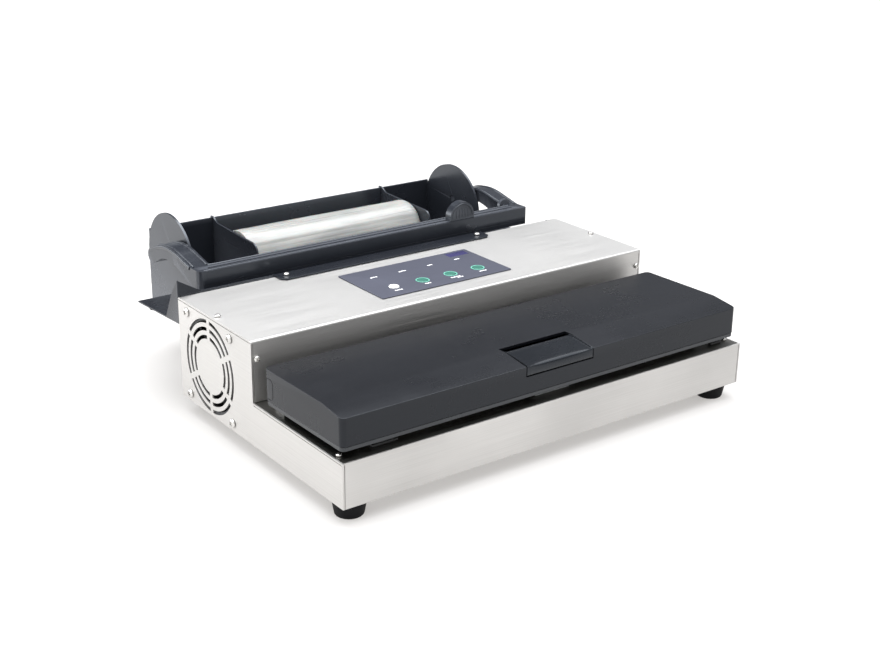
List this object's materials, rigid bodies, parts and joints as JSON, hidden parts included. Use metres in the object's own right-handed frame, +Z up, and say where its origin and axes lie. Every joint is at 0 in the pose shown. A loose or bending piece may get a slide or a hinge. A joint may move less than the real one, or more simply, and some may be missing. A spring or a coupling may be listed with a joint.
{
  "type": "vacuum sealer",
  "caption": "Countertop vacuum sealer: steel housing with a hinged sealing lid in front, and a bag-roll tray with a swinging cutter bar behind.",
  "frame": {"origin": "on the surface it stands on, under the middle of the whole machine, roll holder included", "axes": "+X to the machine's right as its user sees it, +Y from the lid to the roll holder, +Z up"},
  "size_m": [0.471, 0.4588, 0.159],
  "materials": {
    "brushed_steel": "brushed stainless sheet, grain along the width",
    "pan_steel": "plain zinc-plated sheet",
    "aluminium": "cast and extruded",
    "screw_steel": "bright pan heads",
    "lid_plastic": "near-black, satin, fine texture",
    "latch_plastic": "near-black, smoother than the lid",
    "holder_plastic": "near-black satin",
    "bracket_paint": "gloss black powder coat",
    "fitting_plastic": "black moulded",
    "foot_rubber": "matt black",
    "gasket_foam": "closed-cell foam",
    "silicone": "matt",
    "panel_film": "printed overlay, satin",
    "white_key": "satin",
    "green_key": "satin",
    "bag_film": "embossed translucent film, wound",
    "core_card": "grey-brown card tube",
    "copper_winding": "enamelled wire and laminations",
    "board": "green solder mask",
    "brass": "plain"
  },
  "bodies": {
    "base": {"housing_shell": "brushed_steel", "deck_plate": "brushed_steel", "vacuum_trough": "brushed_steel", "base_pan": "pan_steel", "latch_catch": "pan_steel", "hinge_bracket_left": "pan_steel", "hinge_bracket_right": "pan_steel", "motor_housing": "pan_steel", "seal_bar": "aluminium", "pump_crankcase": "aluminium", "pump_cylinder_head": "aluminium", "fan_screw_1": "screw_steel", "fan_screw_2": "screw_steel", "fan_screw_3": "screw_steel", "fan_screw_4": "screw_steel", "side_screw_1": "screw_steel", "side_screw_2": "screw_steel", "cover_screw_left": "screw_steel", "cover_screw_right": "screw_steel", "wall_screw_left": "screw_steel", "wall_screw_right": "screw_steel", "deck_screw_left": "screw_steel", "deck_screw_right": "screw_steel", "bracket_screw_left": "screw_steel", "bracket_screw_right": "screw_steel", "roll_tray": "holder_plastic", "roll_bracket": "bracket_paint", "fan_frame": "fitting_plastic", "mains_inlet": "fitting_plastic", "rocker_bezel": "fitting_plastic", "foot_front_left": "foot_rubber", "foot_front_right": "foot_rubber", "foot_rear_left": "foot_rubber", "foot_rear_right": "foot_rubber", "vacuum_hose": "foot_rubber", "lower_gasket": "gasket_foam", "control_panel": "panel_film", "transformer": "copper_winding", "circuit_board": "board", "heater_strip": "brass", "solenoid_valve": "brass"},
    "lid": {"lid_cover": "lid_plastic", "lid_liner": "lid_plastic", "upper_gasket": "gasket_foam", "pressure_strip": "silicone"},
    "latch": {"latch_flap": "latch_plastic"},
    "power_button": {"button_power": "white_key"},
    "vacuum_button": {"button_vacuum": "green_key"},
    "seal_button": {"button_seal": "green_key"},
    "stop_button": {"button_stop": "green_key"},
    "cutter": {"cutter_frame": "holder_plastic"},
    "knob": {"cutter_knob": "holder_plastic", "cutter_blade": "brushed_steel"},
    "divider_left": {"roll_divider_left": "holder_plastic"},
    "divider_right": {"roll_divider_right": "holder_plastic"},
    "roll": {"bag_roll": "bag_film", "roll_core": "core_card"},
    "fan": {"fan_rotor": "fitting_plastic"},
    "motor": {"motor_shaft": "brushed_steel"},
    "rocker": {"power_rocker": "latch_plastic"}
  },
  "joints": [
    {"name": "lid_hinge", "type": "hinge", "parent": "base", "child": "lid", "pos_m": [0, -0.1114, 0.078], "axis": [-1, 0, 0], "range_deg": [0, 80]},
    {"name": "latch_hinge", "type": "hinge", "parent": "lid", "child": "latch", "pos_m": [0, -0.19321, 0.09429], "axis": [-1, 0, 0], "range_deg": [0, 8], "stiffness_Nm_per_rad": 0.3, "springref_deg": -5.73},
    {"name": "power_press", "type": "slide", "parent": "base", "child": "power_button", "axis": [0, 0, -1], "range_m": [0, 0.0008], "stiffness_N_per_m": 500, "springref_m": -0.0004},
    {"name": "vacuum_press", "type": "slide", "parent": "base", "child": "vacuum_button", "axis": [0, 0, -1], "range_m": [0, 0.0008], "stiffness_N_per_m": 500, "springref_m": -0.0004},
    {"name": "seal_press", "type": "slide", "parent": "base", "child": "seal_button", "axis": [0, 0, -1], "range_m": [0, 0.0008], "stiffness_N_per_m": 500, "springref_m": -0.0004},
    {"name": "stop_press", "type": "slide", "parent": "base", "child": "stop_button", "axis": [0, 0, -1], "range_m": [0, 0.0008], "stiffness_N_per_m": 500, "springref_m": -0.0004},
    {"name": "cutter_hinge", "type": "hinge", "parent": "base", "child": "cutter", "pos_m": [0, 0.1741, 0.1195], "axis": [-1, 0, 0], "range_deg": [0, 70]},
    {"name": "knob_slide", "type": "slide", "parent": "cutter", "child": "knob", "axis": [1, 0, 0], "range_m": [-0.292, 0.064]},
    {"name": "divider_left_slide", "type": "slide", "parent": "base", "child": "divider_left", "axis": [1, 0, 0], "range_m": [-0.068, 0]},
    {"name": "divider_right_slide", "type": "slide", "parent": "base", "child": "divider_right", "axis": [1, 0, 0], "range_m": [0, 0.062]},
    {"name": "roll_spin", "type": "hinge", "parent": "base", "child": "roll", "pos_m": [0.0035, 0.1706, 0.0968], "axis": [1, 0, 0], "continuous": true},
    {"name": "fan_spin", "type": "hinge", "parent": "base", "child": "fan", "pos_m": [-0.22, -0.0034, 0.065], "axis": [1, 0, 0], "continuous": true},
    {"name": "motor_spin", "type": "hinge", "parent": "base", "child": "motor", "pos_m": [0.15, -0.0154, 0.06], "axis": [1, 0, 0], "continuous": true},
    {"name": "rocker_tilt", "type": "hinge", "parent": "base", "child": "rocker", "pos_m": [0.115, 0.0526, 0.046], "axis": [1, 0, 0], "range_deg": [0, 14]}
  ]
}
